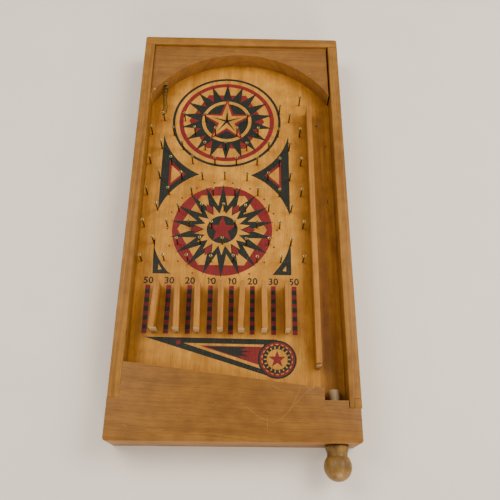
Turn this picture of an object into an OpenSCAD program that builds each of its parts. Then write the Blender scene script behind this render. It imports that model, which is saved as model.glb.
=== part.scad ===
// Wooden tabletop pin-and-ball board with a spring-loaded plunger.
// X runs across the board, +Y from the player to the back, +Z up.
// The origin is under the middle of the whole object, on the table.

/* [Frame] */
// Width over the two side rails
board_w = 206; // [165:1:260]
// Length from the front face to the back face, without the knob
board_l = 418; // [340:1:520]
// Height of the rails and the front block
board_h = 36; // [34:1:48]
// Thickness of the side rails
rail_w = 10; // [8:0.5:14]
// Thickness of the back rail
back_w = 10; // [8:0.5:14]
// Radius of the four upright outer corners
corner_r = 2.5; // [1:0.5:5]

/* [Playfield] */
// Height of the playing surface above the table
field_z = 16; // [13:0.5:18]
// Thickness of the playfield panel
field_t = 6; // [5:0.5:8]
// Depth of the grooves that hold the panel in the rails
groove_d = 3; // [2:0.5:5]
// Distance by which pins, dividers and print sit left of the field's middle
field_shift = 1.5; // [0:0.25:3]

/* [Front block] */
// Length of the block beside the front end of the left rail
left_shoulder = 33.5; // [30:0.5:40]
// Length of the block beside the front end of the right rail
right_shoulder = 27; // [20:0.5:31]
// Where the sloping rear edge meets the left rail
slope_left = 63; // [52:0.5:75]
// Where the sloping rear edge meets the chute pocket
slope_right = 43; // [40:0.5:50]
// Face of the chute pocket, where the plunger comes out
chute_face = 33; // [32:0.5:38]
// Gap between the block and the inside of the right rail
block_gap = 0.6; // [0.3:0.1:1]
// How far the block's right side is set in from the rail's
side_inset = 1; // [0:0.25:2]
// How far the block laps over the front edge of the playfield panel
field_lap = 2; // [1.5:0.5:4]

/* [Arch block] */
// Height of the block above the playing surface
arch_h = 17; // [12:0.5:18]
// Depth of the curve, from its crown to its two ends
arch_rise = 55; // [40:1:70]
// Thinnest wood, between the crown and the back rail
arch_wall = 11; // [6:0.5:20]
// Gap between the block and the right rail
arch_gap = 1.5; // [0.5:0.25:2.5]

/* [Lane wall and dividers] */
// Clear width of the shooter lane
chute_w = 20; // [17:0.5:26]
// Thickness of the lane wall
wall_t = 5; // [4:0.5:8]
// Height of the lane wall and the dividers
wall_h = 16; // [12:0.5:18]
// Way for the ball between the front block and the lane wall
return_gap = 20; // [15:0.5:26]
// Distance from the end of the lane wall to the level of the arch's ends
exit_gap = 10; // [6:0.5:20]
// Thickness of a scoring divider
divider_t = 5; // [4:0.5:6]
// Length of a scoring divider
divider_l = 44; // [35:1:55]
// Clear width of a scoring lane
lane_gap = 14; // [12.5:0.5:16]
// Distance from the front of the board to the dividers
divider_y = 94; // [82:1:110]

/* [Nails] */
// Spacing of the nails along a row
pin_pitch = 21.5; // [18:0.5:26]
// Spacing of the rows
row_pitch = 17.7; // [15:0.1:22]
// Distance from the dividers to the first row
first_row = 24.5; // [18:0.5:32]
// Height of a nail above the playing surface
pin_h = 14; // [11:0.5:16]
// Diameter of a nail's shank
pin_d = 1.4; // [1:0.1:2]
// Diameter of a nail's head
pin_head_d = 3; // [2.4:0.1:3.6]
// How far a nail may stand off its marked place
pin_wander = 0.5; // [0:0.1:1]

/* [Plunger] */
// Diameter of the wooden rod
rod_d = 9; // [7:0.25:11]
// How far the rod's tip still stands out of its bush when pulled right back
tip_stay = 0.5; // [0:0.25:2]
// Travel of the plunger
pull = 14; // [8:0.5:14]
// Height of the rod's axis above the playing surface
rod_rise = 5.5; // [5:0.25:7]
// Diameter of the bored spring chamber
chamber_d = 16; // [15:0.25:18]
// Wood left in front of the spring chamber
chamber_wall = 5; // [4:0.5:6]
// Thickness of the guide bush in the chamber's mouth
bush_t = 3.5; // [3:0.25:5]
// Diameter of the knob's ball
knob_d = 22.5; // [18:0.5:26]
// Diameter of the knob's collar
collar_d = 19.5; // [16:0.5:22]
// Diameter of the knob's neck
neck_d = 16.5; // [14:0.5:18]
// Distance from the board's front face to the middle of the knob's ball
knob_y = 16.4; // [14:0.2:20]
// Wire diameter of the plunger spring
spring_wire = 0.9; // [0.6:0.1:1]
// Turns of the plunger spring
spring_turns = 7; // [5:1:7]

/* [Rebound spring] */
// Coil diameter over the wire
rebound_d = 3.6; // [2.8:0.2:5]
// Wire diameter
rebound_wire = 0.6; // [0.4:0.1:0.8]
// Turns
rebound_turns = 20; // [12:1:24]
// Distance of its far nail from the end level of the arch
rebound_reach = 17; // [12:0.5:24]
// Gap between the head of its far nail and the arch
rebound_clear = 0.7; // [0.4:0.1:3]

/* [Hidden] */

$fn = 64;
eps = 0.01;
run_fit = 0.06;      // radial clearance of the rod in its two bores
glue_fit = 0.02;     // radial glue line of the rod in the knob
rest_gap = 0.3;      // gap between the knob and the block at rest

// Whole object, knob included, for the origin
knob_end = knob_y + knob_d / 2;
front_y = (knob_end - board_l) / 2;

// Inside of the frame
inner_x = board_w / 2 - rail_w;
back_inner = board_l - back_w;

// Field between the left rail and the lane wall
wall_right = inner_x - chute_w;
wall_left = wall_right - wall_t;
field_w = inner_x + wall_left;
field_x = (wall_left - inner_x) / 2 - field_shift;

// Playfield panel, in its grooves and under the front block
panel_w = 2 * (inner_x + groove_d);
panel_front = chute_face - field_lap;
panel_under = field_z - field_t;

// Arch: a circle through the crown and the two ends at the rails
crown_y = back_inner - arch_wall;
arch_end_y = crown_y - arch_rise;
arch_r = (inner_x * inner_x + arch_rise * arch_rise) / (2 * arch_rise);
arch_cy = crown_y - arch_r;

// Lane wall
wall_front = slope_right + return_gap;
wall_back = arch_end_y - exit_gap;

// Dividers, set by hand and so a little out of line
divider_count = 7;
divider_pitch = lane_gap + divider_t;
divider_shift = [-1, -0.5, -1.5, 0, -0.5, 0.5, 2];
divider_turn = [-3, 1.5, 1, 0.5, -2, 1, 0];
divider_back = divider_y + divider_l;

// Nails
row_room = 14;       // least distance from the last row to the arch's ends
column_room = 3;     // least distance from a nail to the side of the field
row_y0 = divider_back + first_row;
last_row = floor((arch_end_y - row_room - row_y0) / row_pitch);
column_limit = floor((field_w / 2 - field_shift - column_room) / (pin_pitch / 2));
pin_sink = field_t - 1;
pin_head_h = 1;
open_column = 4;     // the last row has no nail here
high_pins = [[55, 11], [76, 22.5]];   // from the field's middle and the last row

// Rebound nails: the first of the last row, and one beside the arch in line with it
rebound_y0 = row_y0 + last_row * row_pitch;
rebound_y1 = arch_end_y + rebound_reach;
rebound_r = arch_r - pin_head_d / 2 - rebound_clear;
rebound_x = -sqrt(pow(rebound_r, 2) - pow(rebound_y1 - arch_cy, 2));
rebound_z = 10;      // height of the coil's axis above the playing surface
hook_gap = 0.05;     // between the coil's end turns and its nails

// Plunger
rod_x = inner_x - chute_w / 2;
rod_z = field_z + rod_rise;
bush_y = chute_face - bush_t;
rod_end = chute_face + pull - bush_t + tip_stay;
socket_l = knob_y - 4;
pin_cross_d = 1.6;
pin_cross_y = bush_y - 1.5;
washer_t = 1;
washer_y = pin_cross_y - pin_cross_d / 2 - washer_t;
washer_d = chamber_d - 1.5;
spring_d = rod_d + 1 + 2 * spring_wire;

// Patch let into the outer corner of the right rail's end
patch_w = 6;
patch_l = 7.5;
patch_h = 6;

// Brads
brad_d = 1.2;
brad_head_d = 2.4;
brad_head_h = 0.7;
brad_proud = 0.15;
brad_grip = 4;       // length in the second piece
brad_edge = 8;       // from an edge or an end

rail_wood = "#A87438";
block_wood = "#9C6629";
field_wood = "#C8923F";
strip_wood = "#BC8440";
knob_wood = "#A98A4A";
tip_wood = "#B9A488";
brass = "#B08D4A";
steel = "#9A9A98";

// ---- helpers ----

// Moves children from "y = 0 at the front face" to the object's own frame.
module from_front(x = 0, y = 0, z = 0) {
    translate([x, front_y + y, z]) children();
}

// Removes the square outside a quarter circle; sx and sy point into the wood.
module corner_cut(x, y, sx, sy, r = corner_r) {
    translate([x, y, -eps])
        linear_extrude(board_h + 2 * eps)
            difference() {
                translate([sx > 0 ? -1 : -r, sy > 0 ? -1 : -r])
                    square(r + 1);
                translate([sx * r, sy * r]) circle(r);
            }
}

// Round bar along +Y.
module bar_y(d, l) {
    rotate([-90, 0, 0]) cylinder(d = d, h = l);
}

// Domed nail, its foot at z = -sink and the top of its head at z = h.
module nail(h, sink, d, head_d, head_h) {
    rotate_extrude()
        union() {
            translate([0, -sink]) square([d / 2, h + sink - head_h / 2]);
            intersection() {
                translate([0, h - head_h]) scale([1, 2 * head_h / head_d])
                    circle(d = head_d);
                translate([0, h - head_h]) square([head_d, head_h]);
            }
        }
}

// Flat-headed brad along +Z, its head at z = 0 and standing brad_proud below it.
module brad(l) {
    translate([0, 0, -brad_proud]) {
        cylinder(d = brad_head_d, h = brad_head_h);
        cylinder(d = brad_d, h = l);
    }
}

// One ring of points round a wire wound along +Y, s from 0 to 1.
function coil_ring(s, r, length, turns, wire_r, sides) =
    let (a = 360 * turns * s,
         rise = length / (turns * 2 * PI * r),
         run = 1 / sqrt(1 + rise * rise),
         t = [-sin(a) * run, rise * run, cos(a) * run],
         out = [cos(a), 0, sin(a)],
         up = cross(out, t),
         c = [r * cos(a), length * s, r * sin(a)])
    [for (i = [0 : sides - 1])
        c + wire_r * (cos(360 * i / sides) * out + sin(360 * i / sides) * up)];

// Wire spring along +Y, its first turn starting at y = 0.
module coil(d, wire, length, turns, steps = 20, sides = 8) {
    n = turns * steps;
    rings = [for (k = [0 : n])
        each coil_ring(k / n, (d - wire) / 2, length, turns, wire / 2, sides)];
    skin = [for (k = [0 : n - 1]) for (i = [0 : sides - 1])
        let (j = (i + 1) % sides, p = k * sides, q = p + sides)
        each [[p + i, p + j, q + j], [p + i, q + j, q + i]]];
    first_cap = [[for (i = [0 : sides - 1]) sides - 1 - i]];
    last_cap = [[for (i = [0 : sides - 1]) n * sides + i]];
    polyhedron(points = rings, faces = concat(skin, first_cap, last_cap), convexity = 10);
}

// ---- frame ----

module rail(side, front) {
    length = back_inner - front;
    x0 = side < 0 ? -board_w / 2 : inner_x;
    groove_x = side < 0 ? -inner_x - groove_d : inner_x - eps;
    difference() {
        from_front(x0, front, 0) cube([rail_w, length, board_h]);
        from_front(groove_x, front - eps, panel_under)
            cube([groove_d + eps, length + 2 * eps, field_t]);
    }
}

module left_rail() {
    color(rail_wood) rail(-1, left_shoulder);
}

module patch_shape(grow) {
    from_front(board_w / 2 - patch_w, right_shoulder - grow, board_h - patch_h)
        cube([patch_w + grow, patch_l + grow, patch_h + grow]);
}

module right_rail() {
    color(rail_wood)
        difference() {
            rail(1, right_shoulder);
            patch_shape(eps);
        }
}

module rail_end_patch() {
    color(strip_wood) patch_shape(0);
}

module back_rail() {
    color(rail_wood)
        difference() {
            from_front(-board_w / 2, back_inner, 0) cube([board_w, back_w, board_h]);
            from_front(-panel_w / 2, back_inner - eps, panel_under)
                cube([panel_w, groove_d + eps, field_t]);
            from_front() corner_cut(-board_w / 2, board_l, 1, -1);
            from_front() corner_cut(board_w / 2, board_l, -1, -1);
        }
}

module block_outline() {
    right_x = board_w / 2 - side_inset;
    polygon([[-board_w / 2, 0], [right_x, 0],
             [right_x, right_shoulder], [inner_x - block_gap, right_shoulder],
             [inner_x - block_gap, chute_face], [wall_right, chute_face],
             [wall_right, slope_right], [-inner_x, slope_left],
             [-inner_x, left_shoulder], [-board_w / 2, left_shoulder]]);
}

// Bore of the spring chamber, from the wood left in front of it to y = end.
module chamber(end) {
    from_front(rod_x, chamber_wall, rod_z) bar_y(chamber_d, end - chamber_wall);
}

module front_block() {
    color(block_wood)
        difference() {
            from_front() linear_extrude(board_h) block_outline();
            // seat of the playfield panel, open below
            from_front(-panel_w / 2, panel_front, -eps)
                cube([panel_w, slope_left, field_z + eps]);
            chamber(chute_face + 1);
            // the rod's front bore
            from_front(rod_x, -1, rod_z)
                bar_y(rod_d + 2 * run_fit, chamber_wall + 2);
            from_front() corner_cut(-board_w / 2, 0, 1, 1);
            from_front() corner_cut(board_w / 2 - side_inset, 0, -1, 1);
        }
}

module arch_block() {
    color(block_wood)
        from_front(0, 0, field_z)
            linear_extrude(arch_h)
                difference() {
                    translate([-inner_x, arch_end_y])
                        square([2 * inner_x - arch_gap, back_inner - arch_end_y]);
                    translate([0, arch_cy]) circle(arch_r, $fn = 180);
                }
}

// The spring chamber is bored into its front edge too, for the guide bush.
module playfield_panel() {
    color(field_wood)
        difference() {
            from_front(-panel_w / 2, panel_front, panel_under)
                cube([panel_w, back_inner + groove_d - panel_front, field_t]);
            chamber(chute_face);
        }
}

// ---- pieces on the playfield ----

module lane_wall() {
    chamfer = 3;
    color(strip_wood)
        from_front(wall_left, 0, field_z)
            rotate([90, 0, 90])
                linear_extrude(wall_t)
                    polygon([[wall_front, 0], [wall_back, 0], [wall_back, wall_h],
                             [wall_front + chamfer, wall_h],
                             [wall_front, wall_h - chamfer]]);
}

function divider_x(i) =
    field_x + (i - (divider_count + 1) / 2) * divider_pitch + divider_shift[i - 1];

module divider(i) {
    straight = divider_l - divider_t / 2;
    color(strip_wood)
        from_front(divider_x(i), divider_y + divider_l / 2, field_z)
            rotate([0, 0, divider_turn[i - 1]])
                translate([0, -divider_l / 2, 0])
                    linear_extrude(wall_h)
                        union() {
                            translate([-divider_t / 2, 0]) square([divider_t, straight]);
                            translate([0, straight]) circle(divider_t / 2);
                        }
}

// Places of the nails: staggered rows, then the two that stand above them.
function wander(k) = pin_wander * sin(137 * k);
pin_grid = [for (row = [0 : last_row])
    for (c = [-column_limit : column_limit])
        if ((c + row + 1) % 2 == 0
            && !(row == last_row && (c == open_column
                || field_x + c * pin_pitch / 2 < rebound_x + pin_pitch / 2)))
            [field_x + c * pin_pitch / 2 + wander(row * 31 + c * 7),
             row_y0 + row * row_pitch + wander(row * 17 + c * 11)]];
pin_high = [for (p = high_pins) [field_x + p[0], rebound_y0 + p[1]]];
pins = concat(pin_grid, pin_high);

module nails(places) {
    for (p = places)
        from_front(p[0], p[1], field_z)
            nail(pin_h, pin_sink, pin_d, pin_head_d, pin_head_h, $fn = 24);
}

module playfield_nails() {
    color(brass) nails(pins);
}

module rebound_nails() {
    color(brass) nails([[rebound_x, rebound_y0], [rebound_x, rebound_y1]]);
}

module rebound_spring() {
    end_gap = pin_d / 2 + rebound_wire / 2 + hook_gap;
    length = rebound_y1 - rebound_y0 - 2 * end_gap;
    color(brass)
        from_front(rebound_x, rebound_y0 + end_gap, field_z + rebound_z)
            coil(rebound_d, rebound_wire, length, rebound_turns, steps = 12, sides = 6);
}

// ---- fasteners ----

module frame_brads() {
    near = 6;   // from the panel or an edge, in the front block
    color(steel) {
        // through the back rail into the side rails
        for (x = [-1, 1]) for (z = [brad_edge, board_h - brad_edge])
            from_front(x * (board_w / 2 - rail_w / 2), board_l, z)
                rotate([90, 0, 0]) brad(back_w + brad_grip);
        // through the left rail into the front block
        for (z = [field_z + near, board_h - near])
            from_front(-board_w / 2, (left_shoulder + slope_left) / 2, z)
                rotate([0, 90, 0]) brad(rail_w + brad_grip);
        // through the right rail into the tongue beside the spring chamber
        for (z = [near, panel_under + field_t / 2])
            from_front(board_w / 2, (right_shoulder + chute_face) / 2, z)
                rotate([0, -90, 0]) brad(rail_w + brad_grip - 1);
    }
}

module panel_brads() {
    reach = field_t + 2 * brad_grip;
    wall_span = wall_back - wall_front - 2 * brad_edge;
    arch_edge = 12;   // from the side rails
    color(steel) {
        // two under each divider
        for (i = [1 : divider_count]) for (y = [-1, 1])
            from_front(divider_x(i), divider_y + divider_l / 2, panel_under)
                rotate([0, 0, divider_turn[i - 1]])
                    translate([0, y * (divider_l / 2 - brad_edge), 0]) brad(reach);
        // four under the lane wall
        for (i = [0 : 3])
            from_front((wall_left + wall_right) / 2,
                       wall_front + brad_edge + i * wall_span / 3, panel_under)
                brad(reach);
        // three under the arch block
        for (x = [-1, 0, 1])
            from_front(x * (inner_x - arch_edge), back_inner - arch_wall / 2, panel_under)
                brad(reach);
    }
}

// ---- plunger ----

module guide_bush() {
    color(strip_wood)
        from_front(rod_x, bush_y, rod_z)
            difference() {
                bar_y(chamber_d, bush_t);
                translate([0, -eps, 0]) bar_y(rod_d + 2 * run_fit, bush_t + 2 * eps);
            }
}

module plunger_rod() {
    color(tip_wood)
        from_front(rod_x, -rest_gap - socket_l, rod_z)
            bar_y(rod_d, rod_end + rest_gap + socket_l);
}

module plunger_knob() {
    middle = knob_y - rest_gap;
    color(knob_wood)
        from_front(rod_x, -rest_gap, rod_z)
            rotate([90, 0, 0])
                difference() {
                    rotate_extrude()
                        intersection() {
                            union() {
                                translate([0, middle]) circle(d = knob_d);
                                polygon([[0, 0], [collar_d / 2 - 0.6, 0],
                                         [collar_d / 2, 0.6], [collar_d / 2, 1.8],
                                         [neck_d / 2 + 0.5, 4.2], [neck_d / 2, 5.6],
                                         [neck_d / 2, 7], [neck_d / 2 + 0.6, middle - 7],
                                         [0, middle]]);
                            }
                            square([knob_d, middle + knob_d]);
                        }
                    translate([0, 0, -1])
                        cylinder(d = rod_d + 2 * glue_fit, h = socket_l + 1);
                }
}

module plunger_spring() {
    length = washer_y - chamber_wall - spring_wire - 0.1;
    color(steel)
        from_front(rod_x, chamber_wall + spring_wire / 2 + 0.05, rod_z)
            coil(spring_d, spring_wire, length, spring_turns);
}

module spring_washer() {
    color(steel)
        from_front(rod_x, washer_y, rod_z)
            difference() {
                bar_y(washer_d, washer_t);
                translate([0, -eps, 0]) bar_y(rod_d + 2 * run_fit, washer_t + 2 * eps);
            }
}

module cross_pin() {
    length = rod_d + 4;
    color(steel)
        from_front(rod_x - length / 2, pin_cross_y, rod_z)
            rotate([0, 90, 0]) cylinder(d = pin_cross_d, h = length);
}

left_rail();
right_rail();
back_rail();
front_block();
arch_block();
playfield_panel();
lane_wall();
divider(1);  // lane_divider_1
divider(2);  // lane_divider_2
divider(3);  // lane_divider_3
divider(4);  // lane_divider_4
divider(5);  // lane_divider_5
divider(6);  // lane_divider_6
divider(7);  // lane_divider_7
playfield_nails();
rebound_nails();
rebound_spring();
rail_end_patch();
frame_brads();
panel_brads();
guide_bush();
plunger_rod();
plunger_knob();
plunger_spring();
spring_washer();
cross_pin();
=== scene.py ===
"""A wooden tabletop pin-and-ball board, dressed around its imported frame.

Lengths are millimetres in the bench frame: x across the board, y from the
board's front face, z from the table. Pieces are made at that size and are
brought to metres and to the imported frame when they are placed.
"""

import logging
import math
import random
from collections.abc import Sequence
from dataclasses import dataclass
from enum import Enum

import bmesh
import bpy
from mathutils import Matrix, Vector
from mathutils.geometry import interpolate_bezier

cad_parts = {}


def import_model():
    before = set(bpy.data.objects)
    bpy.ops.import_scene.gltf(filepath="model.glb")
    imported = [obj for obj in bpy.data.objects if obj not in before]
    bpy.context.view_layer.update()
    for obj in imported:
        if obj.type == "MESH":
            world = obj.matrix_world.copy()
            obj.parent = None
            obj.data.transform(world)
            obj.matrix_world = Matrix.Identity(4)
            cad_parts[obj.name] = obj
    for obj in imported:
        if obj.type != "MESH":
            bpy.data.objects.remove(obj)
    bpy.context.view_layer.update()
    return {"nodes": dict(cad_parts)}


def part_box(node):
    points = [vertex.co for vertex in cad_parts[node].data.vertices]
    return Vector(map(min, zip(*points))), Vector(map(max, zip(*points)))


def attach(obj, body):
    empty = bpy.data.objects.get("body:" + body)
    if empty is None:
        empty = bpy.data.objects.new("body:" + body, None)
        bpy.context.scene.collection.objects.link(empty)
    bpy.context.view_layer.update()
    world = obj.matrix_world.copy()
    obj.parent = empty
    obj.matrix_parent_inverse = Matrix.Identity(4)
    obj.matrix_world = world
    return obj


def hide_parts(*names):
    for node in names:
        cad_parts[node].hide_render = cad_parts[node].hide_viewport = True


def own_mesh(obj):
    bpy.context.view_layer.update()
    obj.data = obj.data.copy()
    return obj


MM = 0.001
TAU = 2 * math.pi

log = logging.getLogger("board")

Point = tuple[float, float]


class Grain(Enum):
    """Which way a piece's grain runs, as the turn that brings it onto x."""

    ALONG_X = (0.0, 0.0, 0.0)
    ALONG_Y = (0.0, 0.0, -math.pi / 2)


class Slot(Enum):
    """The record's material slots."""

    RAIL = "rail_wood"
    BLOCK = "block_wood"
    FIELD = "printed_plywood"
    STRIP = "strip_wood"
    KNOB = "turned_wood"
    DOWEL = "bare_dowel"
    BRASS = "nail_brass"
    STEEL = "brad_steel"


# ---- materials ----


def linear(hex_colour: str) -> tuple[float, float, float, float]:
    """Turns an sRGB hex colour into the linear colour that a socket takes.

    Args:
        hex_colour: The colour as "#rrggbb".

    Returns:
        Red, green, blue and a full alpha.
    """
    parts = [int(hex_colour[i : i + 2], 16) / 255 for i in (1, 3, 5)]
    red, green, blue = (
        part / 12.92 if part <= 0.04045 else ((part + 0.055) / 1.055) ** 2.4
        for part in parts
    )
    return red, green, blue, 1.0


def add_node(
    tree: bpy.types.NodeTree,
    kind: str,
    inputs: dict[str | int, object] | None = None,
    **settings: object,
) -> bpy.types.Node:
    """Adds one node with its settings, values and links.

    Args:
        tree: The material's node tree.
        kind: The node's type name.
        inputs: A value, or another node's output, for each input by name or place.
        **settings: The node's own properties.

    Returns:
        The new node.
    """
    node = tree.nodes.new(kind)
    for name, value in settings.items():
        setattr(node, name, value)
    for key, value in (inputs or {}).items():
        if isinstance(value, bpy.types.NodeSocket):
            tree.links.new(value, node.inputs[key])
        else:
            node.inputs[key].default_value = value
    return node


def new_material(
    name: str,
) -> tuple[bpy.types.Material, bpy.types.NodeTree, bpy.types.Node]:
    """Makes an empty material.

    Args:
        name: The material's name.

    Returns:
        The material, its node tree and its Principled shader.
    """
    material = bpy.data.materials.new(name)
    material.use_nodes = True
    tree = material.node_tree
    shader = tree.nodes["Principled BSDF"]
    return material, tree, shader


# Sockets of a Mix node that mixes colours.
MIX_FACTOR, MIX_A, MIX_B, MIX_RESULT = 0, 6, 7, 2

# Rays that the shader sends out to find how near other wood is.
NEAR_RAYS = 8


@dataclass(frozen=True)
class Pattern:
    """One noise of the wood: features a millimetre, octaves, and weight in the tone."""

    along: float
    across: float
    octaves: float
    weight: float = 0.0


@dataclass(frozen=True)
class LacqueredWood:
    """Planed hardwood under a sprayed satin lacquer that has yellowed.

    The eye sees pale early wood and thin dark late-wood lines, fine fibres
    along the grain, broad warm and cool streaks, and a soft wet-looking gloss.
    Inner corners are darkened with painted shade, the lane with painted shadow and wear, and
    sanded edges are rubbed pale.
    """

    name: str
    light: str
    dark: str
    line: str
    grain: Grain
    heart_mm: tuple[float, float, float] = (0.0, 30.0, -45.0)
    tilt_deg: tuple[float, float] = (2.0, 1.0)
    ring_mm: float = 5.0
    wander_mm: float = 9.0
    line_share: float = 0.5
    streak_mm: float = 9.0
    fibre_mm: float = 0.8
    mottle_mm: float = 11.0
    mottle_share: float = 1.1
    tone_shift: float = -0.65
    fleck_share: float = 0.45
    roughness: float = 0.42
    sheen_level: float = 0.16
    # colour multiplied in as painted shade in inner corners, and as painted shadow and wear in
    # the lane
    shade_and_wear_tint: str = "#A88C66"
    corner_shade_share: float = 0.6
    corner_shade_reach_mm: float = 12.0
    edge: str = "#C08A45"
    edge_share: float = 0.7
    edge_reach_mm: float = 0.9
    lane_from_mm: float | None = None

    def patterns(self) -> dict[str, Pattern]:
        """The noises of the wood, most of them drawn out along the grain."""
        return {
            "streak": Pattern(0.04 / self.streak_mm, 1 / self.streak_mm, 2.0, 0.9),
            "fibre": Pattern(0.035, 1 / self.fibre_mm, 3.0, 0.6),
            "blotch": Pattern(0.01, 0.02, 2.0, 0.8),
            "mottle": Pattern(1 / self.mottle_mm, 1 / self.mottle_mm, 4.0, self.mottle_share),
            "fleck": Pattern(0.16, 1.9, 0.0),
        }

    def material(self) -> bpy.types.Material:
        """Builds the material.

        Returns:
            The finished material.
        """
        material, tree, shader = new_material(self.name)
        place = add_node(tree, "ShaderNodeTexCoord").outputs["Object"]
        along = add_node(
            tree,
            "ShaderNodeMapping",
            {"Vector": place, "Scale": (1 / MM,) * 3, "Rotation": self.grain.value},
        ).outputs["Vector"]
        noise: dict[str, bpy.types.NodeSocket] = {}
        tone: object = self.tone_shift - self.mottle_share / 2
        for name, pattern in self.patterns().items():
            pitch = (pattern.along, pattern.across, pattern.across)
            drawn = add_node(
                tree, "ShaderNodeVectorMath", {0: along, 1: pitch}, operation="MULTIPLY"
            ).outputs["Vector"]
            noise[name] = add_node(
                tree,
                "ShaderNodeTexNoise",
                {"Vector": drawn, "Scale": 1.0, "Detail": pattern.octaves},
            ).outputs[0]
            if pattern.weight:
                tone = add_node(
                    tree,
                    "ShaderNodeMath",
                    {0: noise[name], 1: pattern.weight, 2: tone},
                    operation="MULTIPLY_ADD",
                ).outputs[0]
        tone = add_node(tree, "ShaderNodeClamp", {"Value": tone}).outputs[0]
        flecks = add_node(
            tree,
            "ShaderNodeMapRange",
            {
                "Value": noise["fleck"],
                "From Min": 0.66,
                "From Max": 0.76,
                "To Max": self.fleck_share,
            },
        ).outputs["Result"]
        late = self._late_wood(tree, along)
        colour: object = linear(self.light)
        for share, over in ((tone, self.dark), (late, self.line), (flecks, self.line)):
            colour = add_node(
                tree,
                "ShaderNodeMix",
                {MIX_FACTOR: share, MIX_A: colour, MIX_B: linear(over)},
                data_type="RGBA",
            ).outputs[MIX_RESULT]
        colour = self._painted_shade_and_wear(tree, place, colour, noise["streak"])
        gloss = add_node(
            tree,
            "ShaderNodeMapRange",
            {
                "Value": noise["fibre"],
                "From Min": 0.3,
                "From Max": 0.7,
                "To Min": self.roughness - 0.05,
                "To Max": self.roughness + 0.08,
            },
        ).outputs["Result"]
        relief = add_node(
            tree,
            "ShaderNodeBump",
            {"Height": noise["fibre"], "Strength": 0.35, "Distance": 0.12 * MM},
        ).outputs["Normal"]
        tree.links.new(colour, shader.inputs["Base Color"])
        tree.links.new(gloss, shader.inputs["Roughness"])
        tree.links.new(relief, shader.inputs["Normal"])
        shader.inputs["Specular IOR Level"].default_value = self.sheen_level
        return material

    def _painted_shade_and_wear(
        self,
        tree: bpy.types.NodeTree,
        place: bpy.types.NodeSocket,
        clean: bpy.types.NodeSocket,
        streak: bpy.types.NodeSocket,
    ) -> bpy.types.NodeSocket:
        """Paints shade into inner corners, and paints shadow with wear into the lane where
        balls have worn the lacquer.

        Args:
            tree: The material's node tree.
            place: Place in the object's own frame.
            clean: Colour of the clean wood.
            streak: Noise drawn out along the grain.

        Returns:
            The colour with its painted shade, its painted lane shadow and wear, and its rubbed
            edges.
        """
        # painted shade: the nearer other wood is, the darker the colour, where shade falls in
        # inner corners
        nearness = add_node(
            tree,
            "ShaderNodeAmbientOcclusion",
            {"Distance": self.corner_shade_reach_mm * MM},
            samples=NEAR_RAYS,
        ).outputs["AO"]
        corner = add_node(
            tree,
            "ShaderNodeMapRange",
            {"Value": nearness, "From Min": 1.0, "From Max": 0.3, "To Max": self.corner_shade_share},
        ).outputs["Result"]
        colour = add_node(
            tree,
            "ShaderNodeMix",
            {MIX_FACTOR: corner, MIX_A: clean, MIX_B: linear(self.shade_and_wear_tint)},
            data_type="RGBA",
            blend_type="MULTIPLY",
        ).outputs[MIX_RESULT]
        depth = add_node(
            tree,
            "ShaderNodeAmbientOcclusion",
            {"Distance": self.edge_reach_mm * MM},
            samples=NEAR_RAYS,
            inside=True,
        ).outputs["AO"]
        rubbed = add_node(
            tree,
            "ShaderNodeMapRange",
            {"Value": depth, "From Min": 0.85, "From Max": 0.5, "To Max": self.edge_share},
        ).outputs["Result"]
        uneven = add_node(
            tree, "ShaderNodeMath", {0: rubbed, 1: streak}, operation="MULTIPLY"
        ).outputs[0]
        colour = add_node(
            tree,
            "ShaderNodeMix",
            {MIX_FACTOR: uneven, MIX_A: colour, MIX_B: linear(self.edge)},
            data_type="RGBA",
        ).outputs[MIX_RESULT]
        if self.lane_from_mm is None:
            return colour
        across = add_node(tree, "ShaderNodeSeparateXYZ", {"Vector": place}).outputs["X"]
        # the painted lane shadow and wear fade in over two millimetres at the lane wall
        lane = add_node(
            tree,
            "ShaderNodeMapRange",
            {
                "Value": across,
                "From Min": (self.lane_from_mm - 2) * MM,
                "From Max": self.lane_from_mm * MM,
            },
        ).outputs["Result"]
        # painted shadow on the lane floor, streaked along the grain with wear where balls roll
        worn = add_node(
            tree,
            "ShaderNodeMath",
            {0: lane, 1: streak, 2: -0.15},
            operation="MULTIPLY_ADD",
            use_clamp=True,
        ).outputs[0]
        worn = add_node(
            tree, "ShaderNodeMath", {0: worn, 1: lane}, operation="MULTIPLY"
        ).outputs[0]
        return add_node(
            tree,
            "ShaderNodeMix",
            {MIX_FACTOR: worn, MIX_A: colour, MIX_B: linear(self.shade_and_wear_tint)},
            data_type="RGBA",
            blend_type="MULTIPLY",
        ).outputs[MIX_RESULT]

    def _late_wood(
        self, tree: bpy.types.NodeTree, along: bpy.types.NodeSocket
    ) -> bpy.types.NodeSocket:
        """Dark lines of the growth rings, cut at a slight angle to the trunk.

        Args:
            tree: The material's node tree.
            along: Place in millimetres, the grain on x.

        Returns:
            How much of the late-wood colour shows.
        """
        tilt_y, tilt_z = (math.radians(a) for a in self.tilt_deg)
        trunk = add_node(
            tree,
            "ShaderNodeMapping",
            {"Vector": along, "Location": self.heart_mm, "Rotation": (0.0, tilt_y, tilt_z)},
        ).outputs["Vector"]
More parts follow.
